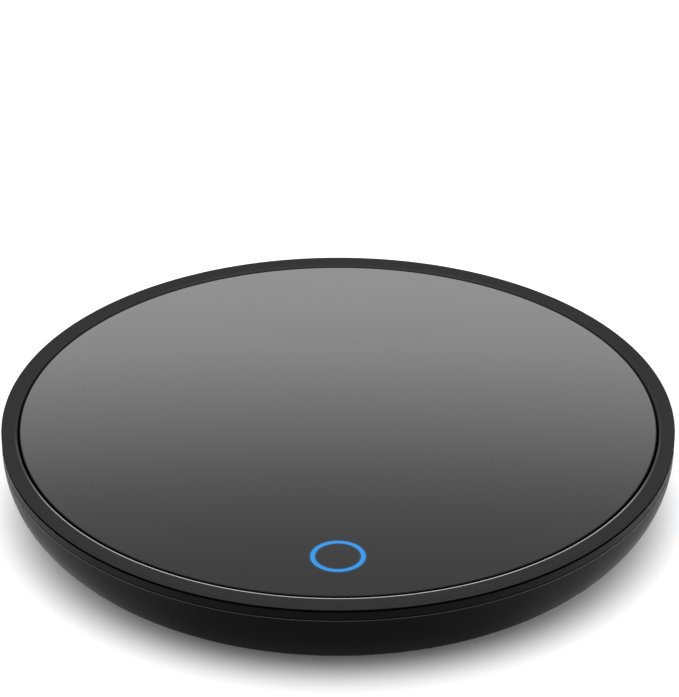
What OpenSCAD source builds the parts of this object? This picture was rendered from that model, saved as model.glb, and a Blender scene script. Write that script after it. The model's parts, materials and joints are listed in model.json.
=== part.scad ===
// Electric mug warmer with a floating heated glass top.
// Millimetres, +Z up, origin on the table under the centre. The touch key is at the front (-Y),
// the power inlet at the rear (+Y).

/* [Housing] */
// Outer diameter of the housing
outer_d = 130; // [126:1:150]
// Height of the base shell from its underside to its rim
shell_h = 14.5; // [14.5:0.1:18]
// Radius of the quarter-round between the shell's floor and its wall
corner_r = 14.4; // [11:0.1:14.4]
// Wall thickness of the base shell
wall = 2.2; // [1.8:0.1:2.4]
// Height of the visible band of the upper housing
band_h = 1.72; // [1.2:0.01:2]
// Height of the shadow gap between the band and the bezel
shadow_gap = 0.45; // [0.2:0.05:0.6]
// Thickness of the shelf inside the upper housing
shelf_t = 1.6; // [1.2:0.1:1.8]

/* [Bezel] */
// Radial width of the bezel around the glass
bezel_w = 3.05; // [2.6:0.05:4]
// Height of the bezel's crest above the glass
bezel_crest = 0.7; // [0.4:0.05:1]
// Radius of the bezel's outer edge
bezel_edge_r = 0.3; // [0.2:0.1:0.8]
// Running gap between the bezel and the glass
glass_gap = 0.45; // [0.3:0.05:0.6]

/* [Heating deck] */
// Thickness of the glass plate
glass_t = 3; // [2.8:0.1:3.4]
// Thickness of the back print on the glass
print_t = 0.15; // [0.1:0.05:0.2]
// Thickness of the silicone bond between the glass and the carrier
bond_t = 0.3; // [0.2:0.05:0.4]
// Thickness of the carrier's flange
flange_t = 1.3; // [1.2:0.05:1.4]
// Gap between the key's light guide and the heater's well
heater_gap = 1.18; // [0.9:0.02:3]
// Thickness of the heat spreader
spreader_t = 0.9; // [0.8:0.05:1]
// Thickness of each film of the heater
film_t = 0.15; // [0.1:0.05:0.2]
// Thickness of the heater's foil track
track_t = 0.1; // [0.05:0.05:0.15]
// Thickness of the insulation pad
pad_t = 1.3; // [1.1:0.1:1.5]
// Thickness of the carrier's floor under the insulation
tray_t = 1.2; // [1:0.1:1.3]
// Travel of the deck under a mug
deck_travel = 0.8; // [0.5:0.05:0.9]

/* [Heater foil] */
// Number of rings in the foil track
track_rings = 7; // [3:2:7]
// Distance from ring to ring
track_pitch = 3.6; // [3:0.1:3.6]
// Width of the foil
track_w = 2.2; // [1.4:0.1:2.4]

/* [Touch key] */
// Distance from the edge of the glass to the centre of the key
key_inset = 12.5; // [11.5:0.5:12.5]
// Inner radius of the lit ring
key_ring_ri = 3.94; // [3.4:0.01:4.2]
// Width of the lit ring
key_ring_w = 1.03; // [0.8:0.01:1.2]
// Outer radius of the touch spring
touch_spring_r = 2.4; // [1.8:0.1:2.6]
// Wire diameter of the touch spring
touch_wire = 0.4; // [0.3:0.05:0.5]

/* [Deck springs] */
// Outer radius of a deck spring
spring_r = 3; // [2.6:0.1:3.2]
// Wire diameter of a deck spring
spring_wire = 0.6; // [0.5:0.05:0.7]
// Number of turns of a deck spring
spring_turns = 5; // [4:1:6]
// Depth of the cup that holds a spring's foot
spring_cup_h = 1.6; // [1.2:0.1:2]

/* [Feet and screws] */
// Height that the feet hold the shell above the table
foot_stand = 1.2; // [1:0.1:2]
// Depth of the foot recesses in the shell
foot_recess = 0.8; // [0.5:0.1:1]
// Radius of a foot
foot_r = 6; // [5:0.5:7]
// Distance from the housing's edge to the centre of a foot
foot_inset = 25; // [23:1:29]
// Shank radius of a housing screw
screw_r = 1.3; // [1.1:0.05:1.4]
// Head radius of a housing screw
screw_head_r = 2.6; // [2.2:0.1:2.8]
// Head height of a housing screw
screw_head_h = 1.6; // [1.2:0.1:1.8]
// Shank radius of a small screw
small_screw_r = 1; // [0.8:0.05:1.1]
// Head radius of a small screw
small_head_r = 1.8; // [1.6:0.1:2]

/* [Control board] */
// Thickness of the control board
board_t = 1.2; // [1:0.1:1.4]
// Height of the board's bosses above the floor
board_stand = 2.2; // [1.8:0.1:2.4]
// Length of the board from its front crest to its rear edge
board_len = 32; // [30:0.5:34]
// Clearance between the board's headers and the deck when it is down
header_clear = 0.55; // [0.4:0.05:0.8]

/* [Weight switch] */
// Length of the switch body
switch_l = 10; // [9:0.5:11]
// Width of the switch body
switch_w = 4.4; // [4:0.1:5]
// Clearance between the switch's lugs and the deck when it is down
lug_clear = 0.37; // [0.2:0.01:0.8]
// Distance from the lever's pivot to the point that the deck presses
lever_arm = 12; // [10:0.5:14]
// Distance from the lever's pivot to the plunger
plunger_arm = 4; // [3:0.25:5]
// Thickness of the lever
lever_t = 0.3; // [0.25:0.05:0.4]
// Radius of the plunger
plunger_r = 0.7; // [0.5:0.05:0.8]
// Radius of the lever's pin
lever_pin_r = 0.4; // [0.3:0.05:0.45]

/* [Power inlet] */
// Height of the inlet's axis above the shell's underside
inlet_h = 6; // [5.9:0.05:6.3]
// Depth of the inlet's face behind the housing's outer diameter
inlet_depth = 7; // [6.6:0.1:7.4]
// Radius of the socket for the plug's barrel
socket_r = 3; // [2.8:0.05:3.1]
// Depth of the socket
socket_len = 10; // [9:0.5:11]
// Radius of the centre pin
pin_r = 1; // [0.8:0.05:1.25]
// Radius of the pocket for the plug's grip
pocket_r = 4.7; // [4.3:0.1:4.9]

/* [Hidden] */

// Overlap that keeps cutting tools clear of the faces they cut
cut = 0.5;
// Overlap that joins two shapes of one solid
join = 0.2;
// Clearance of a screw in its pilot hole, and of a screw in a clearance hole
pilot_clear = 0.03;
hole_clear = 0.2;
// Clearance between a piece and the recess that it lies in
recess_clear = 0.15;
// Running clearance of the lever pin and of the plunger
run_clear = 0.05;
// Clearance between faces that press on each other when the deck moves
touch_clear = 0.05;

// Corner numbers of the feet and springs: front right, front left, rear left, rear right
corner_angle = [-45, -135, 135, 45];
pillar_angles = [60, 120, 240, 300];
hook_angles = [0, 72, 108, 180, 252, 288];

// Radii of the housing, the bezel and the glass. The quarter-round ends below the rim.
outer_r = outer_d / 2;
round_r = min(corner_r, shell_h - 0.1);
floor_r = outer_r - round_r;
skirt_t = 1.35;
bezel_in_r = outer_r - bezel_w;
glass_r = bezel_in_r - glass_gap;
skirt_r = bezel_in_r + skirt_t;
seat_r = skirt_r + recess_clear;
well_guide_r = bezel_in_r + recess_clear;
guide_r = glass_r - 0.2;
deck_clear = 0.4;
flange_r = guide_r - deck_clear;

// Levels, from the table up
base_z = foot_stand;
floor_z = base_z + wall;
arc_z = base_z + round_r;
rim_z = base_z + shell_h;
band_z = rim_z + band_h;
bezel_z = band_z + shadow_gap;
// Height of the bezel's outer side between the shadow gap and the glass plane
bezel_side_h = 0.63;
// Height and depth of the fine groove over the shell's rim
groove_h = 0.2;
groove_d = 0.25;
glass_top = bezel_z + bezel_side_h;
glass_z = glass_top - glass_t;
print_z = glass_z - print_t;
flange_top = print_z - bond_t;
flange_z = flange_top - flange_t;
spreader_z = print_z - spreader_t;
front_film_z = spreader_z - film_t;
track_z = front_film_z - track_t;
back_film_z = track_z - film_t;
pad_z = back_film_z - pad_t;
tray_z = pad_z - tray_t;
// The shelf stands clear of the flange by the deck's travel and the bumper
bumper_t = 0.45;
bumper_w = 1.2;
shelf_top = flange_z - deck_travel - touch_clear * 2 - bumper_t;
shelf_z = shelf_top - shelf_t;
// Bottom of the bezel's skirt and the seat that it stands on
seat_depth = 0.87;
seat_z = band_z - seat_depth;
guide_top = glass_z - deck_travel - 0.3;

// Key ring and the light guide under it
key_y = -(glass_r - key_inset);
key_ring_ro = key_ring_ri + key_ring_w;
guide_wall = 0.35;
guide_tube_ri = key_ring_ri - guide_wall;
guide_tube_ro = key_ring_ro + guide_wall;
collar_r = guide_tube_ro + 0.8;
collar_t = 0.7;

// The heater's well in the carrier, and the heater in it
well_wall = 1.4;
well_out_r = -key_y - collar_r - heater_gap;
well_r = well_out_r - well_wall;
spreader_r = well_r - 0.3;
film_r = spreader_r - 1;
track_edge = 0.3;
track_last_r = film_r - track_edge - track_w / 2;
track_r = track_last_r - (track_rings - 1) * track_pitch;
shelf_in_r = well_out_r + deck_clear + 1;
spring_circle_r = (shelf_in_r + guide_r) / 2;

// Housing screws and their pillars
pillar_r = 4.2;
boss_r = 3.2;
pillar_circle_r = shelf_in_r + pillar_r + 0.2;
pillar_top = floor_z + 4.6;
screw_seat_z = base_z + 2;
screw_tip_z = shelf_top - 0.8;

// Hooks that hold the deck down on its springs
hook_t = 1.2;
hook_w = 5;
hook_r = guide_r - bumper_w - 2.4;
hook_tooth = 1.2;
hook_tooth_h = 1;
hook_clear = 0.4;

// Feet
foot_circle_r = outer_r - foot_inset;
foot_edge = 0.5;

// Bare plate under the shell
plate_l = 36;
plate_w = 20;
plate_r = 2;
plate_t = 0.15;

// Spring cups
cup_r = spring_r + 1.6;
cup_bore_r = spring_r + 0.3;
cup_z = floor_z + 1.4;
spigot_r = spring_r - spring_wire - 0.25;
spigot_h = 1.5;
spring_pass = 0.8;

// Control board
board_z = floor_z + board_stand;
board_top = board_z + board_t;
board_r = bowl_r(board_z) - 1.5;
board_half_w = pillar_circle_r * cos(60) - pillar_r - 0.9;
board_rear_y = board_len - board_r;
board_screw_x = board_half_w - 3.3;
board_screw_y = [board_rear_y - 9, 6.5 - board_r];
board_boss_r = 2.4;
small_head_h = 1.2;
led_size = [1.6, 0.9, 0.8];
// Small chip parts: size, distance from part to part and from row to row, and the first row
chip_size = [1.6, 0.8, 0.5];
chip_pitch = [2.4, 1.2];
chip_y = key_y + key_ring_ro + 1;
chip_x = -11.5;
transistor_x = board_half_w - 9.65;

// Headers and plugs along the board's rear edge: sensor and switch, heater, power
header_x = [-12, 0, 12];
header_pins = [4, 2, 2];
pin_pitch = 1.7;
header_l = 5;
header_h = tray_z - deck_travel - header_clear - board_top;
plug_gap = 0.1;
plug_floor = 0.5;
plug_h = header_h - 2 * plug_floor;
plug_l = 7.2;
plug_z = board_top + plug_floor;
header_y = board_rear_y - header_l;
plug_y = header_y + 1.1;
plug_end_y = plug_y + plug_l;
lead_z = plug_z + plug_h / 2;
riser_y = plug_end_y + 7;

// Length and width of the thermistor and of the thermal cut-off
thermistor_size = [5, 3];
cutoff_size = [7, 3];

// Weight switch
switch_z = floor_z + 0.5;
ear_r = lever_pin_r + 0.25;
ear_clear = 0.08;
lug_r = ear_r + 0.1;
lug_half_w = 1.1;
lever_pin_z = tray_z - deck_travel - lug_clear - lug_r;
switch_top = lever_pin_z - ear_r - ear_clear;
switch_h = switch_top - switch_z;
lever_z = switch_top + 0.8;
lever_top = lever_z + lever_t;
lever_half_w = 1.6;
pivot_x = -lever_arm;
plunger_x = pivot_x + plunger_arm;
switch_x = pivot_x - 1;
plunger_top = lever_z - touch_clear;
chamber_r = 1.3;
chamber_h = 1.5;
boss_tip_r = 1.5;
switch_screw_z = switch_z + 1.5;
switch_screw_x = [switch_x + 1.9, switch_x + switch_l - 1.9];
switch_rib_t = 2;
terminal_l = 2.5;

// Power inlet
inlet_z = base_z + inlet_h;
inlet_y = outer_r - inlet_depth;
nose_r = socket_r + 0.9;
nose_l = 1.6;
jack_half_w = 4.5;
jack_half_h = socket_r + 0.6;
jack_face_y = inlet_y - nose_l;
jack_back = 3.5;
jack_rear_y = inlet_y - socket_len - jack_back;
nest_wall = 2.2;
pin_root_r = pin_r + 0.4;
pin_recess = 1;
socket_y = inlet_y - socket_len;
tag_l = 2.6;
tag_t = 0.6;
tag_half_h = 0.7;
contact_t = 0.4;

// Clearance of the upper housing's spigot, and of what passes through its shelf
spigot_clear = 0.25;
shelf_pass = 0.6;

// Wire radii
power_wire_r = 0.65;
signal_wire_r = 0.45;

$fn = 96;

// Radius inside the base shell at height z
function bowl_r(z) = floor_r + sqrt(max(pow(round_r - wall, 2) - pow(min(z, arc_z) - arc_z, 2), 0));

// Height of the middle of the switch's terminal k
function terminal_z(k) = switch_z + switch_h * (0.32 + 0.4 * k);

// Points on a circle of radius r about [x, y], from angle a to angle b in n steps
function arc(x, y, r, a, b, n) =
    [for (i = [0:n]) let (t = a + (b - a) * i / n) [x + r * cos(t), y + r * sin(t)]];

// Point on a smooth curve through the points p, t of the way from point i to the next
function curve_point(p, i, t) =
    let (
        p0 = p[max(i - 1, 0)],
        p1 = p[i],
        p2 = p[i + 1],
        p3 = p[min(i + 2, len(p) - 1)]
    )
    0.5 * (2 * p1 + (p2 - p0) * t + (2 * p0 - 5 * p1 + 4 * p2 - p3) * t * t
        + (3 * p1 - p0 - 3 * p2 + p3) * t * t * t);

// The smooth curve through the points p, with n steps between neighbours
function curve(p, n) = [
    for (i = [0:len(p) - 2])
        for (k = [0:n - 1]) curve_point(p, i, k / n),
    p[len(p) - 1],
];

function unit(v) = v / norm(v);

// Direction of the path at point i; the ends point the way they are told to
function heading(path, i, first, last) =
    i == 0 ? first
    : i == len(path) - 1 ? last
    : unit(path[i + 1] - path[i - 1]);

// A round wire of radius r along a path. side is a direction that the path never takes.
module wire(path, r, side, first, last, sides = 8) {
    rings = [
        for (i = [0:len(path) - 1])
            let (
                t = heading(path, i, first, last),
                u = unit(cross(t, side)),
                v = cross(t, u)
            )
            for (k = [0:sides - 1]) path[i] + r * (cos(360 * k / sides) * u + sin(360 * k / sides) * v)
    ];
    last_ring = sides * (len(path) - 1);
    walls = [
        for (i = [0:len(path) - 2])
            for (k = [0:sides - 1])
                let (
                    a = i * sides + k,
                    b = i * sides + (k + 1) % sides
                )
                each [[a, b, b + sides], [a, b + sides, a + sides]]
    ];
    start = [for (k = [sides - 1:-1:0]) k];
    end = [for (k = [0:sides - 1]) last_ring + k];
    polyhedron(rings, concat([start], walls, [end]), convexity = 8);
}

// A coil spring that stands on z0 and reaches z1, with closed end turns
module coil(r, wire_d, z0, z1, turns, sides = 6, steps = 14) {
    n = turns * steps;
    run = z1 - z0 - wire_d;
    path = [
        for (i = [0:n])
            let (
                s = i / n,
                lift = smooth_lift(s, turns, wire_d / run)
            )
            [
                (r - wire_d / 2) * cos(360 * turns * s),
                (r - wire_d / 2) * sin(360 * turns * s),
                z0 + wire_d / 2 + run * lift,
            ]
    ];
    wire(path, wire_d / 2, [0, 0, 1], [0, 1, 0], [-sin(360 * turns), cos(360 * turns), 0], sides);
}

// Share of a spring's height at s of its wire: an end turn rises by one wire, the rest evenly
function smooth_lift(s, turns, end_rise) =
    let (e = 0.9 / turns, rise = 1.2 * end_rise)
    s < e ? rise * s / e
    : s > 1 - e ? 1 - rise * (1 - s) / e
    : rise + (1 - 2 * rise) * (s - e) / (1 - 2 * e);

// A ring about Z
module ring(ri, ro, z, h) {
    translate([0, 0, z]) linear_extrude(h) difference() {
        circle(ro);
        circle(ri);
    }
}

// A disc about Z
module disc(r, z, h) {
    translate([0, 0, z]) cylinder(r = r, h = h);
}

// Children at radius r and at each of the angles, turned to face outwards
module around(angles, r) {
    for (a = angles) rotate(a) translate([r, 0, 0]) children();
}

// A box between two x, two y and two z values
module span(x0, x1, y0, y1, z0, z1) {
    translate([x0, y0, z0]) cube([x1 - x0, y1 - y0, z1 - z0]);
}

// A cylinder along +Y from y0 to y1
module rod_y(x, z, r, y0, y1) {
    translate([x, y0, z]) rotate([-90, 0, 0]) cylinder(r = r, h = y1 - y0, $fn = 48);
}

// Half the section of the bowl, inset from its outer surface
module bowl_section(inset) {
    top = rim_z + (inset > 0 ? cut : 0);
    translate([0, base_z + inset]) square([floor_r, top - base_z - inset]);
    intersection() {
        translate([floor_r, arc_z]) circle(round_r - inset);
        translate([floor_r - join, base_z + inset]) square([outer_r, round_r - inset]);
    }
    translate([0, arc_z]) square([outer_r - inset, top - arc_z]);
}

// The solid inside the bowl's outer surface
module bowl(inset) {
    rotate_extrude() bowl_section(inset);
}

// Where the board's screws go
module at_board_screws() {
    for (x = [-board_screw_x, board_screw_x])
        for (y = board_screw_y) translate([x, y, 0]) children();
}

// ---------- housing ----------

// Posts, pillars, ribs and pads that rise from the shell's floor
module shell_inside() {
    low = base_z + join;
    around(pillar_angles, pillar_circle_r) disc(pillar_r, low, pillar_top - low);
    around(corner_angle, spring_circle_r) disc(cup_r, low, cup_z + spring_cup_h - low);
    at_board_screws() disc(board_boss_r, low, board_z - low);
    // Wall that the weight switch is screwed to, and the pad under the switch
    span(switch_x - 0.5, switch_x + switch_l + 0.5, switch_w / 2, switch_w / 2 + switch_rib_t,
        low, switch_top - 0.6);
    span(switch_x, switch_x + switch_l, -switch_w / 2, switch_w / 2 + join, low, switch_z);
    // Nest around the power jack
    span(-jack_half_w - nest_wall, jack_half_w + nest_wall, jack_rear_y + 4, outer_r,
        low, inlet_z + jack_half_h + 0.2);
    span(-jack_half_w, jack_half_w, jack_rear_y, outer_r, low, inlet_z - jack_half_h);
}

// Recess, bore and pocket for the power jack and its plug
module jack_cuts() {
    w = jack_half_w + recess_clear;
    span(-w, w, jack_rear_y - cut, jack_face_y, inlet_z - jack_half_h, rim_z + cut);
    rod_y(0, inlet_z, nose_r + 0.1, jack_face_y - cut, outer_r);
    rod_y(0, inlet_z, pocket_r, inlet_y, outer_r + cut);
}

module base_shell() {
    color("#1b1b1d") difference() {
        union() {
            difference() {
                bowl(0);
                bowl(wall);
            }
            intersection() {
                bowl(join);
                shell_inside();
            }
        }
        // Nothing reaches the upper housing's spigot
        ring(shelf_in_r, outer_r - wall - join, shelf_z - 0.2, shell_h);
        around(pillar_angles, pillar_circle_r) {
            disc(screw_r + hole_clear, base_z - cut, shell_h);
            disc(screw_head_r + 0.3, base_z - cut, screw_seat_z - base_z + cut);
        }
        around(corner_angle, spring_circle_r) disc(cup_bore_r, cup_z, shell_h);
        around(corner_angle, foot_circle_r)
            disc(foot_r + recess_clear, base_z - cut, foot_recess + cut);
        at_board_screws() disc(small_screw_r + pilot_clear, floor_z - 0.8, shell_h);
        for (x = switch_screw_x)
            rod_y(x, switch_screw_z, small_screw_r + pilot_clear, 0, switch_w / 2 + switch_rib_t + cut);
        jack_cuts();
        plate_shape(plate_r + recess_clear, recess_clear, base_z - cut, cut + plate_t + 0.05);
    }
}

// Section of the upper housing: band, bezel seat, guide wall, spigot and shelf
module housing_section() {
    spigot = round_r - wall - spigot_clear;
    low_a = -acos((guide_r - floor_r) / spigot);
    high_z = min(arc_z, rim_z);
    polygon(concat(
        [[shelf_in_r, shelf_z]],
        arc(floor_r, high_z, spigot, asin((shelf_z - high_z) / spigot), 0, 10),
        [
            [floor_r + spigot, rim_z],
            [outer_r - groove_d, rim_z],
            [outer_r - groove_d, rim_z + groove_h],
            [outer_r, rim_z + groove_h],
            [outer_r, band_z],
            [seat_r, band_z],
            [seat_r, seat_z],
            [well_guide_r, seat_z],
            [well_guide_r, guide_top],
            [guide_r, guide_top],
            [guide_r, shelf_top],
            [shelf_in_r, shelf_top],
        ]
    ));
}

module top_housing() {
    hook_slot = hook_t / 2 + hook_clear;
    color("#151517") difference() {
        union() {
            rotate_extrude() housing_section();
            around(pillar_angles, pillar_circle_r)
                disc(boss_r, pillar_top, shelf_z + join - pillar_top);
        }
        around(pillar_angles, pillar_circle_r)
            disc(screw_r + pilot_clear, pillar_top - cut, screw_tip_z + 0.3 - pillar_top + cut);
        around(corner_angle, spring_circle_r)
            disc(spring_r + spring_pass, shelf_z - cut, shelf_t + 2 * cut);
        around(hook_angles, hook_r)
            span(-hook_slot, hook_slot, -hook_w / 2 - hook_clear, hook_w / 2 + hook_clear,
                shelf_z - cut, shelf_top + cut);
        // Opening for the key's light guide
        translate([0, key_y, 0]) disc(collar_r + shelf_pass, shelf_z - cut, shelf_t + 2 * cut);
        jack_relief();
    }
}

// The shelf holds the power jack down, and makes way for its nose and for the plug
module jack_relief() {
    w = jack_half_w + recess_clear;
    span(-w, w, 0, jack_face_y + recess_clear, shelf_z - cut, inlet_z + jack_half_h + hole_clear);
    rod_y(0, inlet_z, nose_r + 0.1, jack_face_y - cut, outer_r);
    rod_y(0, inlet_z, pocket_r, inlet_y, outer_r);
}

module bezel_ring() {
    lip = 0.2;
    crest_z = glass_top + bezel_crest;
    color("#2b2b2d") rotate_extrude() polygon(concat(
        [[bezel_in_r, seat_z]],
        arc(bezel_in_r + lip, glass_top, lip, 180, 110, 4),
        arc(outer_r - bezel_edge_r, crest_z - bezel_edge_r, bezel_edge_r, 100, 0, 10),
        [
            [outer_r, bezel_z],
            [skirt_r, bezel_z],
            [skirt_r, seat_z],
        ]
    ));
}

module bumper_ring() {
    color("#3a3a3c") ring(guide_r - 0.2 - bumper_w, guide_r - 0.2, shelf_top, bumper_t);
}

module foot(corner) {
    color("#2c2c2e") around([corner_angle[corner]], foot_circle_r) rotate_extrude() polygon([
        [0, 0],
        [foot_r - foot_edge, 0],
        [foot_r, foot_edge],
        [foot_r, foot_stand + foot_recess],
        [0, foot_stand + foot_recess],
    ]);
}

// A flat plate with round corners, grown by the clearance on all sides
module plate_shape(r, grow, z, h) {
    x = plate_l / 2 - plate_r;
    y = plate_w / 2 - plate_r;
    span(-x, x, -y - plate_r - grow, y + plate_r + grow, z, z + h);
    span(-x - plate_r - grow, x + plate_r + grow, -y, y, z, z + h);
    for (i = [-x, x])
        for (j = [-y, y]) translate([i, j, z]) cylinder(r = r, h = h, $fn = 48);
}

module rating_plate() {
    color("#8d9094") plate_shape(plate_r, 0, base_z + 0.05, plate_t);
}

// A pan head screw that points up, with a cross recess
module screw_up(r, head_r, head_h, seat_z, tip_z) {
    difference() {
        union() {
            disc(head_r, seat_z - head_h, head_h);
            disc(r, seat_z - join, tip_z - seat_z + join);
        }
        for (a = [0, 90]) rotate(a)
            span(-head_r * 0.6, head_r * 0.6, -head_r * 0.12, head_r * 0.12,
                seat_z - head_h - cut, seat_z - head_h * 0.45);
    }
}

module housing_screws() {
    color("#9a9da1") around(pillar_angles, pillar_circle_r)
        screw_up(screw_r, screw_head_r, screw_head_h, screw_seat_z, screw_tip_z);
}

// ---------- heating deck ----------

module glass_plate() {
    edge = 0.3;
    color("#0b0b0c") rotate_extrude() polygon([
        [0, glass_z],
        [glass_r - edge, glass_z],
        [glass_r, glass_z + edge],
        [glass_r, glass_top - edge],
        [glass_r - edge, glass_top],
        [0, glass_top],
    ]);
}

module back_print() {
    color("#050506") difference() {
        disc(glass_r - 0.5, print_z, print_t);
        translate([0, key_y, 0]) ring(key_ring_ri, key_ring_ro, print_z - cut, print_t + 2 * cut);
    }
}

module bond_ring() {
    color("#6d6f73") difference() {
        ring(well_r + 0.2, flange_r - 0.3, flange_top, bond_t);
        translate([0, key_y, 0]) disc(collar_r, flange_top - cut, bond_t + 2 * cut);
    }
}

module heat_spreader() {
    color("#c7cacd") disc(spreader_r, spreader_z, spreader_t);
}

module heater_front_film() {
    color("#b0702a") disc(film_r, front_film_z, film_t);
}

// The foil runs round ring by ring, with a slit at the front for the way back
module heater_track() {
    slit = 2.6;
    pad_y = riser_y + 1.5;
    half = track_w / 2;
    color("#b87333") translate([0, 0, track_z]) linear_extrude(track_t) {
        for (k = [0:track_rings - 1]) {
            r = track_r + k * track_pitch;
            difference() {
                circle(r + half);
                circle(r - half);
                translate([-slit, -r - 2 * half]) square([2 * slit, r]);
            }
        }
        for (k = [0:track_rings - 2]) {
            r = track_r + k * track_pitch;
            x = k % 2 == 0 ? slit + 0.1 : -slit - 0.1 - half;
            translate([x, -r - track_pitch]) square([half, track_pitch]);
        }
        translate([0.6, half / 2 - track_last_r - half]) square([slit, half]);
        translate([0.6, half / 2 - track_last_r - half]) square([1, track_last_r + half / 2 + pad_y]);
        translate([-0.6 - slit, half / 2 - track_r - half]) square([slit, half]);
        translate([-1.6, half / 2 - track_r - half]) square([1, track_r + half / 2 + pad_y]);
    }
}

module heater_back_film() {
    color("#c07c30") difference() {
        disc(film_r, back_film_z, film_t);
        heater_pads(signal_wire_r + 0.35, back_film_z - cut, film_t + 2 * cut);
    }
}

// Where the heater's two leads meet the foil
module heater_pads(r, z, h) {
    for (x = [-1.1, 1.1]) translate([x, riser_y, z]) cylinder(r = r, h = h, $fn = 32);
}

module insulation_pad() {
    color("#d8d4c8") difference() {
        disc(film_r, pad_z, pad_t);
        heater_pads(power_wire_r + 0.6, pad_z - cut, pad_t + 2 * cut);
        sensor_pocket(recess_clear, pad_z - cut, pad_t + 2 * cut);
        cutoff_pocket(recess_clear, pad_z - cut, pad_t + 2 * cut);
    }
}

module sensor_pocket(grow, z, h) {
    x = thermistor_size[0] / 2 + grow;
    y = thermistor_size[1] / 2 + grow;
    mid = header_x[0] + pin_pitch;
    span(mid - x, mid + x, riser_y - y, riser_y + y, z, z + h);
}

module cutoff_pocket(grow, z, h) {
    x = cutoff_size[0] / 2 + grow;
    y = cutoff_size[1] / 2 + grow;
    span(-x, x, riser_y + 6 - y, riser_y + 6 + y, z, z + h);
}

module thermistor() {
    color("#2f4f3a") sensor_pocket(0, back_film_z - 1, 1);
}

module thermal_cutoff() {
    color("#d9c9a0") cutoff_pocket(0, back_film_z - 1.1, 1.1);
}

module deck_carrier() {
    hook_z = shelf_z - touch_clear - hook_tooth_h;
    color("#3b3d40") difference() {
        union() {
            ring(well_r, flange_r, flange_z, flange_t);
            ring(well_r, well_out_r, tray_z, flange_top - tray_z);
            disc(well_r + join, tray_z, tray_t);
            // Locating spigots in the tops of the springs
            around(corner_angle, spring_circle_r)
                disc(spigot_r, flange_z - spigot_h, spigot_h + join);
            // Hooks that catch under the shelf
            around(hook_angles, hook_r) {
                span(-hook_t / 2, hook_t / 2, -hook_w / 2, hook_w / 2, hook_z, flange_z + join);
                span(-hook_t / 2, hook_t / 2 + hook_tooth, -hook_w / 2, hook_w / 2,
                    hook_z, hook_z + hook_tooth_h);
            }
            // Boss that presses the switch lever
            pressing_boss(lever_top + touch_clear, tray_z + join);
        }
        translate([0, key_y, 0]) disc(guide_tube_ro + 0.1, flange_z - cut, flange_t + 2 * cut);
        heater_pads(power_wire_r + 0.6, tray_z - cut, tray_t + 2 * cut);
        for (x = lead_x(0, [2, 3]))
            translate([x, riser_y, tray_z - cut]) cylinder(r = 0.8, h = tray_t + 2 * cut, $fn = 32);
    }
}

// A round boss with a ball-shaped end at z0
module pressing_boss(z0, z1) {
    intersection() {
        union() {
            translate([0, 0, z0 + boss_tip_r]) sphere(boss_tip_r, $fn = 48);
            disc(boss_tip_r, z0 + boss_tip_r, z1 - z0);
        }
        disc(2 * boss_tip_r, z0 - cut, z1 - z0 + cut);
    }
}

module light_guide() {
    tube_z = board_top + led_size[2] + deck_travel + 0.6;
    color("#dff0ff") translate([0, key_y, 0]) {
        ring(guide_tube_ri, guide_tube_ro, tube_z, print_z - tube_z);
        ring(guide_tube_ri, collar_r, flange_z - collar_t, collar_t);
    }
}

module deck_spring(corner) {
    color("#b9bcc0") around([corner_angle[corner]], spring_circle_r)
        coil(spring_r, spring_wire, cup_z, flange_z, spring_turns);
}

module touch_spring() {
    color("#c9a24a") translate([0, key_y, 0])
        coil(touch_spring_r, touch_wire, board_top, print_z, 6);
}

// ---------- control board ----------

module control_board() {
    color("#1d5a34") difference() {
        intersection() {
            disc(board_r, board_z, board_t);
            span(-board_half_w, board_half_w, -outer_r, board_rear_y, board_z - cut, board_top + cut);
        }
        at_board_screws() disc(small_screw_r + hole_clear, board_z - cut, board_t + 2 * cut);
    }
}

// A small pan head screw that points down
module small_screw(seat_z, tip_z) {
    difference() {
        union() {
            disc(small_head_r, seat_z, small_head_h);
            disc(small_screw_r, tip_z, seat_z + join - tip_z);
        }
        for (a = [0, 90]) rotate(a)
            span(-small_head_r * 0.6, small_head_r * 0.6, -small_head_r * 0.12, small_head_r * 0.12,
                seat_z + small_head_h * 0.45, seat_z + small_head_h + cut);
    }
}

module board_screws() {
    color("#a5a8ab") at_board_screws() small_screw(board_top, floor_z - 0.6);
}

// A flat chip with legs along its two long sides
module chip(size, legs, pitch) {
    leg_w = pitch * 0.4;
    span(-size[0] / 2, size[0] / 2, -size[1] / 2, size[1] / 2, 0.1, size[2]);
    for (i = [0:legs - 1])
        for (s = [-1, 1])
            translate([(i - (legs - 1) / 2) * pitch - leg_w / 2, s * size[1] / 2 - 0.6, 0])
                cube([leg_w, 1.2, 0.3]);
}

module microcontroller() {
    color("#202124") translate([-7, chip_y + 4, board_top]) chip([10.2, 5.4, 1.6], 8, 1.27);
}

module power_transistor() {
    color("#26272a") translate([transistor_x, board_rear_y - 10.5, board_top]) {
        span(-3.3, 3.3, -3, 3, 0, 2.3);
        for (x = [-2.3, 2.3]) span(x - 0.4, x + 0.4, -5, -2.9, 0, 0.5);
    }
}

module power_inductor() {
    color("#3a3632") translate([8.5, board_rear_y - 18.5, board_top]) intersection() {
        span(-3, 3, -3, 3, 0, 2.4);
        disc(3.7, -cut, 5);
    }
}

module input_capacitor() {
    color("#c58b2b") translate([transistor_x - 7.6, board_rear_y - 9.5, board_top])
        span(-2.9, 2.9, -2.2, 2.2, 0, 2.4);
}

// Small resistors and capacitors in two rows on the board
module chip_parts() {
    color("#a89a84") for (i = [0:6])
        for (j = [0, 1])
            translate([chip_x + chip_pitch[0] * i, chip_y - chip_pitch[1] * j, board_top])
                span(-chip_size[0] / 2, chip_size[0] / 2, -chip_size[1] / 2, chip_size[1] / 2,
                    0, chip_size[2]);
}

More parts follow.
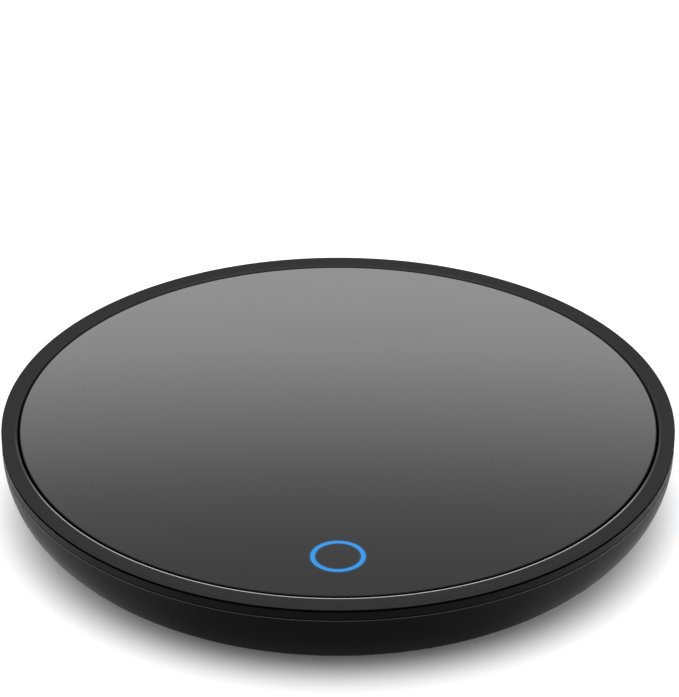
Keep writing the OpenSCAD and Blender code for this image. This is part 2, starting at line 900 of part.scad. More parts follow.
module key_leds() {
    r = (key_ring_ri + key_ring_ro) / 2;
    color("#bfe0ff") translate([0, key_y, board_top])
        around([45, 135, 225, 315], r)
            span(-led_size[1] / 2, led_size[1] / 2, -led_size[0] / 2, led_size[0] / 2, 0, led_size[2]);
}

function plug_half_w(i) = header_pins[i] * pin_pitch / 2 + 0.5;

// Positions across the plug i of the pins in the list
function lead_x(i, pins) =
    [for (p = pins) header_x[i] + (p - (header_pins[i] - 1) / 2) * pin_pitch];

module header(i) {
    w = plug_half_w(i) + plug_gap;
    color("#e6e2d6") translate([header_x[i], 0, 0]) difference() {
        span(-w - 0.6, w + 0.6, header_y, board_rear_y, board_top, board_top + header_h);
        span(-w, w, header_y + 1, board_rear_y + cut, plug_z - plug_gap, plug_z + plug_h + plug_gap);
    }
}

module plug(i) {
    w = plug_half_w(i);
    color("#f0ece0") translate([header_x[i], 0, 0])
        span(-w, w, plug_y, plug_end_y, plug_z, plug_z + plug_h);
}

// A lead that leaves a plug to the rear and turns up to the deck
module riser(x, top, r) {
    path = curve([
        [x, plug_end_y, lead_z],
        [x, plug_end_y + 3, lead_z],
        [x, riser_y - 0.8, lead_z + 1],
        [x, riser_y, lead_z + 2.5],
        [x, riser_y, top],
    ], 4);
    wire(path, r, [1, 0, 0], [0, 1, 0], [0, 0, 1]);
}

module sensor_leads() {
    color("#e8e8e8") for (x = lead_x(0, [2, 3])) riser(x, back_film_z - 1, signal_wire_r);
}

module heater_leads() {
    color("#b3261e") for (x = [-1.1, 1.1]) riser(x, track_z, signal_wire_r + 0.1);
}

// Place between the plug and the jack, t of the way
function power_lead_y(t) =
    plug_end_y + 4 + t * (jack_rear_y - tag_l - 7 - plug_end_y);

module power_leads() {
    low = floor_z + power_wire_r + 0.3;
    x = lead_x(2, [0, 1]);
    tag_x = [0.5 - socket_r, socket_r - 0.5];
    color("#7d1f1a") for (k = [0, 1]) {
        path = curve([
            [x[k], plug_end_y, lead_z],
            [x[k], plug_end_y + 4, lead_z - 1],
            [x[k] + 2, power_lead_y(0.23), low + 0.5],
            [x[k] + 3, power_lead_y(0.44), low],
            [x[k] + 1 + k, power_lead_y(0.725), low + 0.3],
            [x[k] - 5 + 3 * k, power_lead_y(0.885), low + 2],
            [tag_x[k] + 1, jack_rear_y - tag_l - 3, inlet_z - 0.3],
            [tag_x[k], jack_rear_y - tag_l, inlet_z],
        ], 4);
        wire(path, power_wire_r, [0, 0, 1], [0, 1, 0], [0, 1, 0]);
    }
}

module switch_leads() {
    x = lead_x(0, [0, 1]);
    color("#c9b037") for (k = [0, 1]) {
        z = terminal_z(k);
        path = curve([
            [x[k], plug_end_y, lead_z],
            [x[k], plug_end_y + 3, lead_z - 0.5],
            [switch_x - terminal_l - 3, 2 * k - switch_w / 2 - 3.8, z],
            [switch_x - 2 * terminal_l, -1, z],
            [switch_x - terminal_l, 0, z],
        ], 4);
        wire(path, signal_wire_r, [0, 0, 1], [0, 1, 0], [1, 0, 0]);
    }
}

// ---------- weight switch ----------

module switch_body() {
    color("#4a1f1f") difference() {
        union() {
            span(switch_x, switch_x + switch_l, -switch_w / 2, switch_w / 2, switch_z, switch_top);
            rod_y(pivot_x, lever_pin_z, lug_r, -lug_half_w, lug_half_w);
            span(pivot_x - lug_r, pivot_x + lug_r, -lug_half_w, lug_half_w,
                switch_top - join, lever_pin_z);
        }
        rod_y(pivot_x, lever_pin_z, lever_pin_r + run_clear, -lug_half_w - cut, lug_half_w + cut);
        translate([plunger_x, 0, 0]) {
            disc(plunger_r + run_clear, switch_top - 1.2, 1.2 + cut, $fn = 48);
            disc(chamber_r, switch_top - 0.8 - chamber_h, chamber_h, $fn = 48);
        }
        for (x = switch_screw_x)
            rod_y(x, switch_screw_z, small_screw_r + hole_clear, -switch_w, switch_w);
    }
}

module switch_plunger() {
    color("#e3d9c6") translate([plunger_x, 0, 0]) {
        translate([0, 0, plunger_top - plunger_r]) sphere(plunger_r, $fn = 48);
        translate([0, 0, switch_top - 1.6])
            cylinder(r = plunger_r, h = plunger_top - plunger_r - switch_top + 1.6, $fn = 48);
        translate([0, 0, switch_top - 1.5]) cylinder(r = chamber_r - 0.25, h = 0.5, $fn = 48);
    }
}

module switch_lever() {
    ear = lever_half_w - lug_half_w - 0.1;
    color("#c4c7ca") difference() {
        union() {
            span(pivot_x + 1, 1.2, -lever_half_w, lever_half_w, lever_z, lever_top);
            for (y = [-lever_half_w, lever_half_w - ear]) {
                rod_y(pivot_x, lever_pin_z, ear_r, y, y + ear);
                span(pivot_x, pivot_x + 1.6, y, y + ear, lever_z, lever_top);
            }
        }
        rod_y(pivot_x, lever_pin_z, lever_pin_r, -lever_half_w - cut, lever_half_w + cut);
    }
}

module lever_pin() {
    color("#9fa2a6") rod_y(pivot_x, lever_pin_z, lever_pin_r, -lever_half_w, lever_half_w);
}

module switch_terminals() {
    color("#c8b27a") for (k = [0, 1])
        span(switch_x - terminal_l, switch_x, -0.8, 0.8, terminal_z(k) - 0.2, terminal_z(k) + 0.2);
}

module switch_screws() {
    face_y = -switch_w / 2;
    color("#a5a8ab") for (x = switch_screw_x) difference() {
        union() {
            rod_y(x, switch_screw_z, small_head_r, face_y - small_head_h, face_y);
            rod_y(x, switch_screw_z, small_screw_r, face_y - join, switch_w / 2 + switch_rib_t - 0.2);
        }
        span(x - 1, x + 1, face_y - small_head_h - cut, face_y - small_head_h * 0.5,
            switch_screw_z - 0.2, switch_screw_z + 0.2);
    }
}

// ---------- power inlet ----------

module jack_body() {
    color("#161618") difference() {
        union() {
            span(-jack_half_w, jack_half_w, jack_rear_y, jack_face_y,
                inlet_z - jack_half_h, inlet_z + jack_half_h);
            rod_y(0, inlet_z, nose_r, jack_face_y - join, inlet_y);
        }
        rod_y(0, inlet_z, socket_r, socket_y, inlet_y + cut);
        rod_y(0, inlet_z, pin_root_r, jack_rear_y - cut, socket_y + cut);
        jack_contact_slot();
    }
}

// Slot in the side of the socket that the sleeve contact lies in
module jack_contact_slot() {
    span(socket_r - 0.6, socket_r + 0.6, jack_rear_y - cut, jack_face_y - 1.5, inlet_z - 1.5, inlet_z + 1.5);
}

module jack_pin() {
    color("#d8c27c") {
        rod_y(0, inlet_z, pin_root_r, jack_rear_y, socket_y);
        rod_y(0, inlet_z, pin_r, socket_y - join, inlet_y - pin_recess - pin_r);
        translate([0, inlet_y - pin_recess - pin_r, inlet_z]) sphere(pin_r, $fn = 48);
        span(-socket_r - 0.1, tag_t, jack_rear_y - tag_l, jack_rear_y - tag_l + tag_t,
            inlet_z - tag_half_h, inlet_z + tag_half_h);
        span(-tag_t, tag_t, jack_rear_y - tag_l, jack_rear_y + join,
            inlet_z - tag_half_h, inlet_z + tag_half_h);
    }
}

module jack_contact() {
    color("#c9ccd0") {
        span(socket_r + 0.1, socket_r + 0.1 + contact_t, jack_rear_y - tag_l, jack_face_y - 1.7,
            inlet_z - 1.3, inlet_z + 1.3);
        span(socket_r - 1.1, socket_r + 0.1 + contact_t, jack_rear_y - tag_l,
            jack_rear_y - tag_l + tag_t, inlet_z - tag_half_h, inlet_z + tag_half_h);
    }
}

base_shell();
top_housing();
bezel_ring();
bumper_ring();
foot(0);  // foot_front_right
foot(1);  // foot_front_left
foot(2);  // foot_rear_left
foot(3);  // foot_rear_right
rating_plate();
housing_screws();
glass_plate();
back_print();
bond_ring();
heat_spreader();
heater_front_film();
heater_track();
heater_back_film();
insulation_pad();
deck_carrier();
light_guide();
thermistor();
thermal_cutoff();
deck_spring(0);  // deck_spring_front_right
deck_spring(1);  // deck_spring_front_left
deck_spring(2);  // deck_spring_rear_left
deck_spring(3);  // deck_spring_rear_right
touch_spring();
control_board();
board_screws();
microcontroller();
power_transistor();
power_inductor();
input_capacitor();
chip_parts();
key_leds();
header(0);  // sensor_header
header(1);  // heater_header
header(2);  // power_header
plug(0);  // sensor_plug
plug(1);  // heater_plug
plug(2);  // power_plug
sensor_leads();
heater_leads();
power_leads();
switch_leads();
switch_body();
switch_plunger();
switch_lever();
lever_pin();
switch_terminals();
switch_screws();
jack_body();
jack_pin();
jack_contact();
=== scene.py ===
"""Looks of the electric mug warmer, built round its packed CAD model.

The frame, the settings and the stage are in metres, with +Z up and the front at -Y. The pieces
are worked out in millimetres, which become metres where a mesh or a shader takes them."""

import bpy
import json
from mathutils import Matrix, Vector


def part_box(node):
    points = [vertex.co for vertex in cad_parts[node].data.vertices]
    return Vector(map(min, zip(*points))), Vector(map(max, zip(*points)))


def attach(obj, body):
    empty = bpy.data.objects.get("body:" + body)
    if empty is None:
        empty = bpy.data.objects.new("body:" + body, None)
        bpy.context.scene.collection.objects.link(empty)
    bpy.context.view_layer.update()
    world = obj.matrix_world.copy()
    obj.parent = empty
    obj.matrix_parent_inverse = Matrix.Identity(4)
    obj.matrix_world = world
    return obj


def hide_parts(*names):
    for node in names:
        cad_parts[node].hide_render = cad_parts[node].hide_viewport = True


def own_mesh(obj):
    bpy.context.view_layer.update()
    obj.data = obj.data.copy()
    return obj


bl_info = {
    "name": "Mug Warmer Looks",
    "version": (1, 0, 0),
    "blender": (4, 5, 0),
    "location": "3D View > Sidebar > Mug Warmer",
    "description": "Builds the visible pieces and finishes of an electric mug warmer",
    "category": "Object",
}

import json
import math

import bpy
import numpy as np
from bpy.props import FloatProperty, FloatVectorProperty, IntProperty, PointerProperty

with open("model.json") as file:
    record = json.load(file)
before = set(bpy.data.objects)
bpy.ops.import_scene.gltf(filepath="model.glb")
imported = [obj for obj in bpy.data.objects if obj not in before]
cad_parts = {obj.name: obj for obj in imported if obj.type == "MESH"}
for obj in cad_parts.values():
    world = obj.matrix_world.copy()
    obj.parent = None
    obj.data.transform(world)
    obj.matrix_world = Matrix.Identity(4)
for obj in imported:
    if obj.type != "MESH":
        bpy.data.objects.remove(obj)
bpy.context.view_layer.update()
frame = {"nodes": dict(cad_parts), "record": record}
# A millimetre, in metres
MM = 0.001

SLOT_OF = {part["node"]: part["material_slot"] for part in frame["record"]["subparts"]}
BODY_OF = {node: body for body, nodes in frame["record"]["behaviour"]["bodies"].items()
           for node in nodes}
# The four corners at which feet and deck springs stand, by their angle from +X in degrees
CORNERS = {"front_right": -45, "front_left": -135, "rear_left": 135, "rear_right": 45}


def low(node, axis):
    """Lowest place of a CAD node along an axis."""
    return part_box(node)[0][axis] / MM


def high(node, axis):
    """Highest place of a CAD node along an axis."""
    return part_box(node)[1][axis] / MM


def middle(node, axis):
    """Middle of a CAD node along an axis."""
    return (low(node, axis) + high(node, axis)) / 2


def section(node):
    """Distances from the Z axis and heights of a CAD node's points."""
    mesh = frame["nodes"][node].data
    points = np.empty(len(mesh.vertices) * 3, np.float32)
    mesh.vertices.foreach_get("co", points)
    x, y, z = points.reshape(-1, 3).T / MM
    return np.hypot(x, y), z


GLASS_R = high("glass_plate", 0)
GLASS_TOP = high("glass_plate", 2)
KEY_Y = middle("light_guide", 1)
RIM_Z = high("base_shell", 2)


def bezel_sizes():
    """The bezel's lowest height, its skirt's radius, the height of its face's underside, and its
    inner and outer radius. The skirt stands in the upper housing, the face above the gap."""
    reach, height = section("bezel_ring")
    skirt = reach[height < height.min() + 0.1].max()
    under = height[reach > skirt + 0.5].min()
    return [float(size) for size in (height.min(), skirt, under, reach.min(), reach.max())]


BEZEL_LOW, SKIRT_R, BEZEL_FACE_Z, BEZEL_IN_R, BEZEL_R = bezel_sizes()


# ---------- colours and node helpers ----------


def linear(hex_colour):
    """A colour written as an sRGB hex string, as linear RGBA."""
    srgb = np.array([int(hex_colour[i : i + 2], 16) for i in (1, 3, 5)]) / 255
    rgb = np.where(srgb <= 0.04045, srgb / 12.92, ((srgb + 0.055) / 1.055) ** 2.4)
    return (*(float(c) for c in rgb), 1.0)


def grey(level):
    """A linear grey."""
    return (level, level, level, 1.0)


def shade(tone, by):
    """A tone, a hex string or a linear colour, made darker or lighter by a factor."""
    rgb = np.array(linear(tone) if isinstance(tone, str) else tone)[:3]
    return (*(float(c) for c in np.minimum(rgb * by, 1)), 1.0)


def add(tree, kind, settings=(), links=()):
    """Adds a shader node. Settings go to its properties or inputs, links feed its inputs."""
    node = tree.nodes.new("ShaderNode" + kind)
    for key, value in dict(settings).items():
        if isinstance(key, int) or key in node.inputs:
            node.inputs[key].default_value = value
        else:
            setattr(node, key, value)
    for key, socket in dict(links).items():
        tree.links.new(socket, node.inputs[key])
    return node


def new_material(name):
    """An empty node material and its tree."""
    mat = bpy.data.materials.new(name)
    mat.use_nodes = True
    mat.node_tree.nodes.clear()
    return mat, mat.node_tree


def finish_material(mat, shader):
    """Ends a material in its shader and returns it."""
    add(mat.node_tree, "OutputMaterial", {}, {"Surface": shader.outputs[0]})
    return mat


def per_mm(size):
    """Scale of a pattern on Object coordinates whose features are about size millimetres."""
    return 1 / (size * MM)


def textured(name, tone, rough, grain, depth, vary=0.08, spread=0.04, patch=14.0,
             stretch=(1, 1, 1), metallic=0.0, level=0.5, coat=0.0, extra=()):
    """The common build of a finish: a fine bump, patchy roughness and a slight change of tone.

    grain is the size of the surface's texture and depth its height, and patch is the size of the
    patches, all in mm. vary and spread are how far the tone and the roughness go either way, and
    stretch draws the texture out along an axis."""
    mat, tree = new_material(name)
    place = add(tree, "TexCoord").outputs["Object"]
    drawn = add(tree, "Mapping", {"Scale": stretch}, {"Vector": place}).outputs[0]
    fine = add(tree, "TexNoise", {"Scale": per_mm(grain), "Detail": 3.0, "Roughness": 0.6},
               {"Vector": drawn})
    wide = add(tree, "TexNoise", {"Scale": per_mm(patch), "Detail": 4.0, "Roughness": 0.55},
               {"Vector": drawn})
    tones = {"data_type": "RGBA", 6: shade(tone, 1 - vary), 7: shade(tone, 1 + vary)}
    colour = add(tree, "Mix", tones, {0: wide.outputs["Fac"]})
    both = add(tree, "Math", {"operation": "MULTIPLY_ADD", 1: 0.4},
               {0: fine.outputs["Fac"], 2: wide.outputs["Fac"]})
    roughness = add(tree, "MapRange", {"From Min": 0.4, "From Max": 1.0,
                                       "To Min": max(rough - spread, 0), "To Max": rough + spread},
                    {"Value": both.outputs[0]})
    bump = add(tree, "Bump", {"Strength": 1.0, "Distance": depth * MM},
               {"Height": fine.outputs["Fac"]})
    settings = {"Metallic": metallic, "Specular IOR Level": level, "Coat Weight": coat,
                **dict(extra)}
    shader = add(tree, "BsdfPrincipled", settings,
                 {"Base Color": colour.outputs[2], "Roughness": roughness.outputs[0],
                  "Normal": bump.outputs[0]})
    return finish_material(mat, shader)


# ---------- surfaces ----------

# An edge where the surface turns by more than this angle, in degrees, stays sharp
SHARP_FROM = 40
# Facets round a ring of the touch key and round a foot
KEY_SIDES, FOOT_SIDES = 128, 64


def make_piece(name, points, faces, node, mats, which=None, replace=True):
    """A mesh piece that rides on a CAD node's body and has its slot, and stands for the node
    unless replace is false.

    mats holds its materials, and which gives each face's, as an array of their numbers."""
    mesh = bpy.data.meshes.new(name)
    mesh.from_pydata((np.asarray(points) * MM).tolist(), [], faces)
    for mat in mats:
        mesh.materials.append(mat)
    if which is not None:
        mesh.polygons.foreach_set("material_index", np.asarray(which, np.int32))
    mesh.shade_smooth()
    mesh.set_sharp_from_angle(angle=math.radians(SHARP_FROM))
    mesh.update()
    obj = bpy.data.objects.new(name, mesh)
    bpy.context.scene.collection.objects.link(obj)
    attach(obj, BODY_OF[node])
    if replace:
        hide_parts(node)
    return obj


def grid_faces(rows, columns, close_rows):
    """Quads between the neighbouring points of a grid whose columns go round, as an array.

    Quad (i, j) joins points (i, j), (i, j + 1), (i + 1, j + 1) and (i + 1, j), and each number
    starts again at 0 past its end."""
    i, j = np.indices((rows if close_rows else rows - 1, columns)).reshape(2, -1)
    up, on = (i + 1) % rows, (j + 1) % columns
    return np.stack([i * columns + j, i * columns + on, up * columns + on, up * columns + j], 1)


def revolve(profile, sides):
    """A profile of (radius, z) points turned about Z, and its faces.

    Point (i, j) is (r_i cos a_j, r_i sin a_j, z_i), with a_j even steps of a full turn. The
    profile goes up its outer side. It closes on itself, or ends on the axis in two poles."""
    profile = np.asarray(profile, float)
    poles = profile[0, 0] == 0 and profile[-1, 0] == 0
    rings = profile[1:-1] if poles else profile
    a = np.arange(sides) * 2 * np.pi / sides
    r, z = rings[:, :1], rings[:, 1:]
    points = np.stack([r * np.cos(a), r * np.sin(a), z + 0 * a], -1).reshape(-1, 3)
    faces = grid_faces(len(rings), sides, not poles).tolist()
    if poles:
        first, last = len(points), len(points) + 1
        points = np.vstack([points, [0, 0, profile[0, 1]], [0, 0, profile[-1, 1]]])
        j = np.arange(sides)
        on = (j + 1) % sides
        top = (len(rings) - 1) * sides
        faces += np.stack([on, j, 0 * j + first], 1).tolist()
        faces += np.stack([top + j, top + on, 0 * j + last], 1).tolist()
    return points, faces


def fillet(r, z, radius, start, end, count):
    """Profile points on a circle about (r, z), evenly from one angle to another, in degrees.

    Each is (r + radius cos a, z + radius sin a)."""
    a = np.radians(np.linspace(start, end, count))
    return np.stack([r + radius * np.cos(a), z + radius * np.sin(a)], 1).tolist()


def tube(path, radius, side, sides):
    """A round wire along a path, with flat ends, and its faces.

    Point (i, j) is the path's point i plus radius times (cos a_j u_i + sin a_j v_i), where u is
    square to the path's direction and to side, and v is square to both."""
    path = np.asarray(path, float)
    along = np.gradient(path, axis=0)
    along /= np.linalg.norm(along, axis=1, keepdims=True)
    u = np.cross(along, side)
    u /= np.linalg.norm(u, axis=1, keepdims=True)
    v = np.cross(along, u)
    a = np.arange(sides) * 2 * np.pi / sides
    turn = np.cos(a)[:, None] * u[:, None] + np.sin(a)[:, None] * v[:, None]
    rings = path[:, None] + radius * turn
    faces = grid_faces(len(path), sides, False).tolist()
    last = (len(path) - 1) * sides
    faces.append(list(range(sides - 1, -1, -1)))
    faces.append(list(range(last, last + sides)))
    return rings.reshape(-1, 3), faces


def join(parts):
    """Several (points, faces) pairs as one."""
    faces, start = [], 0
    for points, own in parts:
        faces += [[start + k for k in face] for face in own]
        start += len(points)
    return np.vstack([points for points, _ in parts]), faces


def spline(points, steps):
    """A smooth curve through the points, with steps points to a span.

    Each span is the Catmull-Rom cubic of the four points round it, and the first and the last
    point count twice."""
    p = np.asarray(points, float)
    p = np.vstack([p[:1], p, p[-1:]])
    t = (np.arange(steps) / steps)[None, :, None]
    p0, p1, p2, p3 = p[:-3, None], p[1:-2, None], p[2:-1, None], p[3:, None]
    spans = 0.5 * (2 * p1 + (p2 - p0) * t + (2 * p0 - 5 * p1 + 4 * p2 - p3) * t**2
                   + (3 * p1 - p0 - 3 * p2 + p3) * t**3)
    return np.vstack([spans.reshape(-1, 3), p[-1:]])


# ---------- finishes ----------

# Materials made so far, by slot
MADE = {}
# Stretches that draw a texture out into streaks along an axis
ALONG_X, ALONG_Y = (0.04, 1, 1), (1, 0.04, 1)

# The material's name and how its surface is built, for each slot with the common build. Grain
# that is too fine to show is drawn as coarse as it needs to show: a mould's is really 0.1 mm.
FINISHES = {
    # ABS from a spark-eroded mould: deep black and matt, with a fine even grain
    "black_plastic": ("abs_moulded_black", dict(
        rough=0.62, grain=0.35, depth=0.006, level=0.06)),
    # ABS with a dead matt paint: flat charcoal, the same from every side, with no gloss
    "bezel_plastic": ("abs_matt_painted_charcoal", dict(
        rough=0.7, grain=0.22, depth=0.003, vary=0.03, level=0.0)),
    # Silicone rubber, compression moulded: dull black with a soft bloom and a coarse skin
    "silicone_black": ("silicone_moulded_black", dict(
        tone="#1e1e20", rough=0.72, grain=0.5, depth=0.01, vary=0.12, level=0.35, patch=4)),
    # Aluminium foil label stock, brushed along its length: streaks of light and dark
    "plate_grey": ("aluminium_brushed_plate", dict(
        tone="#9a9da1", rough=0.36, grain=0.12, depth=0.004, vary=0.1, stretch=ALONG_X,
        metallic=1, patch=3)),
    # Carbon steel, cold headed and nickel plated: bright, with fine tool marks
    "screw_steel": ("steel_nickel_plated", dict(
        tone="#9c9ea2", rough=0.27, grain=0.25, depth=0.004, metallic=1, patch=1.5)),
    # Ceramic ink fired on the back of the glass: dead black and matt
    "print_black": ("ceramic_print_fired_black", dict(
        tone="#080809", rough=0.62, grain=0.12, depth=0.003, level=0.3)),
    # Silicone sealant, cured in place: smooth grey with slow waves from the bead
    "silicone_grey": ("silicone_sealant_cured_grey", dict(
        tone="#6d6f73", rough=0.48, grain=2.5, depth=0.03, patch=9)),
    # Aluminium sheet, rolled: pale, with long faint rolling lines
    "aluminium": ("aluminium_rolled_sheet", dict(
        tone="#c7cacd", rough=0.34, grain=0.4, depth=0.006, vary=0.05, stretch=ALONG_Y,
        metallic=1)),
    # Polyimide film, cast: clear amber gloss with slight ripples
    "polyimide": ("polyimide_cast_film_amber", dict(
        tone="#b0702a", rough=0.22, grain=3.0, depth=0.02, patch=20, coat=0.3)),
    # Cupronickel foil, etched: warm metal with a satin etched face
    "foil": ("cupronickel_etched_foil", dict(
        tone="#b87f4d", rough=0.4, grain=0.15, depth=0.004, metallic=1, patch=5)),
    # Ceramic fibre paper, felted: chalky white with tangled fibres
    "insulation": ("ceramic_fibre_paper_felted", dict(
        tone="#d8d4c8", rough=0.92, grain=0.45, depth=0.09, patch=6, level=0.2)),
    # Glass-filled nylon, moulded: dark grey, dull, with fibre speckle at the surface
    "carrier_plastic": ("nylon_glass_filled_moulded", dict(
        tone="#3b3d40", rough=0.55, grain=0.35, depth=0.012, vary=0.15, patch=2)),
    # Epoxy, dipped: glossy green bead with a slightly uneven skin
    "sensor_green": ("epoxy_dipped_green", dict(
        tone="#2f4f3a", rough=0.18, grain=1.2, depth=0.03, patch=3)),
    # Steatite ceramic, pressed and fired: cream, matt, faintly pitted
    "cutoff_cream": ("steatite_pressed_cream", dict(
        tone="#d9c9a0", rough=0.6, grain=0.2, depth=0.01, patch=2)),
    # Stainless spring wire, drawn and coiled: bright with lengthwise die lines
    "spring_steel": ("stainless_drawn_wire", dict(
        tone="#b6b9bd", rough=0.25, grain=0.12, depth=0.003, metallic=1, patch=0.9)),
    # Phosphor bronze wire, gold flashed: warm yellow and bright
    "spring_gold": ("bronze_gold_flashed_wire", dict(
        tone="#c9a24a", rough=0.22, grain=0.12, depth=0.003, metallic=1, patch=0.9)),
    # Epoxy moulding compound: charcoal with a fine sandy face
    "chip_black": ("epoxy_compound_black", dict(
        tone="#1d1e20", rough=0.52, grain=0.18, depth=0.006, vary=0.12, patch=2)),
    # Tantalum capacitor resin, moulded: mustard, half matt
    "capacitor_tan": ("resin_moulded_mustard", dict(
        tone="#c58b2b", rough=0.45, grain=0.2, depth=0.006, patch=2)),
    # Barium titanate ceramic, sintered: buff and matt
    "chip_tan": ("ceramic_sintered_buff", dict(
        tone="#a89a84", rough=0.55, grain=0.1, depth=0.004, vary=0.2, patch=0.6)),
    # Light-emitting chip in cast silicone: pale, smooth and slightly milky
    "led_white": ("silicone_cast_led", dict(
        tone="#d6e6f2", rough=0.25, grain=0.3, depth=0.004, patch=1)),
    # Nylon 66, moulded: milky white with a waxy gloss
    "nylon_white": ("nylon_moulded_natural", dict(
        tone="#e6e2d6", rough=0.42, grain=0.25, depth=0.005, vary=0.04, patch=3,
        extra={"Subsurface Weight": 0.08, "Subsurface Scale": 0.001})),
    # PVC insulation, extruded: soft gloss with faint draw marks
    "wire_white": ("pvc_extruded_white", dict(
        tone="#e4e3df", rough=0.36, grain=0.5, depth=0.008, vary=0.04, patch=4)),
    "wire_red": ("pvc_extruded_red", dict(
        tone="#a2261d", rough=0.36, grain=0.5, depth=0.008, patch=4)),
    "wire_yellow": ("pvc_extruded_yellow", dict(
        tone="#c9b037", rough=0.36, grain=0.5, depth=0.008, patch=4)),
    # Phenolic resin, compression moulded: dark red-brown, half gloss, slightly mottled
    "switch_red": ("phenolic_moulded_red_brown", dict(
        tone="#4a2020", rough=0.34, grain=0.3, depth=0.006, vary=0.2, patch=1.5)),
    # Acetal, moulded: cream, slippery looking
    "plunger_cream": ("acetal_moulded_cream", dict(
        tone="#e3d9c6", rough=0.28, grain=0.3, depth=0.003, patch=1.5)),
    # Nickel silver strip, stamped: bright, with rolling lines along the strip
    "contact_metal": ("nickel_silver_stamped", dict(
        tone="#b9bab8", rough=0.26, grain=0.15, depth=0.003, stretch=ALONG_X, metallic=1, patch=2)),
    # Brass, turned and tinned: pale yellow metal with a soft shine
    "terminal_brass": ("brass_turned_bright", dict(
        tone="#cbb36d", rough=0.24, grain=0.15, depth=0.003, metallic=1, patch=2)),
}


def glass_finish(tone):
    """Soda-lime glass, float polished, over a black print.

    It is a black mirror with faint wiping marks."""
    return textured("glass_float_polished_black", tone, rough=0.035, grain=9, depth=0.0004,
                    vary=0.02, spread=0.02, patch=22, extra={"IOR": 1.5})


def board_finish():
    """Epoxy glass laminate, etched and screen printed with solder mask.

    Copper tracks under the mask show as paler green lines, 0.5 mm wide and 2.5 mm apart; the
    mask itself is glossy and levels the steps at their edges."""
    mat, tree = new_material("laminate_solder_mask_green")
    place = add(tree, "TexCoord").outputs["Object"]
    # One unit of the bricks is 2.5 mm
    lines = add(tree, "TexBrick", {"Scale": per_mm(2.5), "Mortar Size": 0.1, "Mortar Smooth": 0.2,
                                   "Brick Width": 3.0, "Row Height": 1.0, "Bias": 0.0},
                {"Vector": place})
    parts = add(tree, "TexNoise", {"Scale": per_mm(6), "Detail": 1.0}, {"Vector": place})
    shown = add(tree, "MapRange", {"From Min": 0.44, "From Max": 0.5},
                {"Value": parts.outputs["Fac"]})
    track = add(tree, "Math", {"operation": "MULTIPLY"},
                {0: lines.outputs["Fac"], 1: shown.outputs[0]})
    weave = add(tree, "TexNoise", {"Scale": per_mm(0.5), "Detail": 2.0}, {"Vector": place})
    colour = add(tree, "Mix", {"data_type": "RGBA", 6: linear("#16452a"), 7: linear("#2f7548")},
                 {0: track.outputs[0]})
    height = add(tree, "Math", {"operation": "MULTIPLY_ADD", 1: 0.2},
                 {0: weave.outputs["Fac"], 2: track.outputs[0]})
    bump = add(tree, "Bump", {"Strength": 1.0, "Distance": 0.03 * MM},
               {"Height": height.outputs[0]})
    roughness = add(tree, "MapRange", {"To Min": 0.2, "To Max": 0.34},
                    {"Value": weave.outputs["Fac"]})
    shader = add(tree, "BsdfPrincipled", {"Coat Weight": 0.2},
                 {"Base Color": colour.outputs[2], "Roughness": roughness.outputs[0],
                  "Normal": bump.outputs[0]})
    return finish_material(mat, shader)


def lip_finish(tone):
    """The bezel's paint, rubbed smooth where cloths and mugs pass: a gloss on the lip alone."""
    return textured("abs_matt_paint_rubbed_bright", tone, rough=0.1, grain=0.6, depth=0.0004,
                    vary=0.03)


def rim_highlight_finish():
    """ABS of the rim's bead, smoother than the wall, in a paler tone that is a painted highlight.
    """
    return textured("abs_rim_painted_highlight", "#424243", rough=0.4, grain=0.2, depth=0.001, vary=0.12,
                    level=0.1, patch=5)


def guide_finish():
    """Acrylic, moulded with a frosted face: clear, with a haze that spreads the key's light."""
    mat, tree = new_material("acrylic_moulded_frosted")
    place = add(tree, "TexCoord").outputs["Object"]
    frost = add(tree, "TexNoise", {"Scale": per_mm(0.2), "Detail": 2.0}, {"Vector": place})
    bump = add(tree, "Bump", {"Strength": 1.0, "Distance": 0.004 * MM},
               {"Height": frost.outputs["Fac"]})
    roughness = add(tree, "MapRange", {"To Min": 0.25, "To Max": 0.4},
                    {"Value": frost.outputs["Fac"]})
    shader = add(tree, "BsdfPrincipled", {"Base Color": linear("#e3efff"), "IOR": 1.49,
                                          "Transmission Weight": 0.85},
                 {"Roughness": roughness.outputs[0], "Normal": bump.outputs[0]})
    return finish_material(mat, shader)


def glow_finish(name, glow, strength):
    """Glass over a lit window in the black print: the face mirrors as the glass round it does."""
    mat, tree = new_material("glass_lit_" + name)
    place = add(tree, "TexCoord").outputs["Object"]
    wipe = add(tree, "TexNoise", {"Scale": per_mm(9)}, {"Vector": place})
    roughness = add(tree, "MapRange", {"To Min": 0.02, "To Max": 0.05},
                    {"Value": wipe.outputs["Fac"]})
    shader = add(tree, "BsdfPrincipled", {"Base Color": linear("#040506"),
                                          "Emission Color": (*glow, 1),
                                          "Emission Strength": strength, "IOR": 1.5},
                 {"Roughness": roughness.outputs[0]})
    return finish_material(mat, shader)


def finish_of(slot):
    """The finish of a material slot, made once."""
    if slot not in MADE:
        look = bpy.context.scene.warmer_look
        chosen = {"black_plastic": look.shell_tone, "bezel_plastic": look.bezel_tone}
        if slot == "black_glass":
            MADE[slot] = glass_finish(look.glass_tone)
        elif slot == "board_green":
            MADE[slot] = board_finish()
        elif slot == "light_guide":
            MADE[slot] = guide_finish()
        else:
            name, build = FINISHES[slot]
            MADE[slot] = textured(name, **{"tone": chosen.get(slot), **build})
    return MADE[slot]


def dress(*nodes):
    """Gives CAD nodes that stay as they are their finishes."""
    for node in nodes:
        for holder in frame["nodes"][node].material_slots:
            holder.material = finish_of(SLOT_OF[node])


# ---------- sizes and colours that a user would change ----------


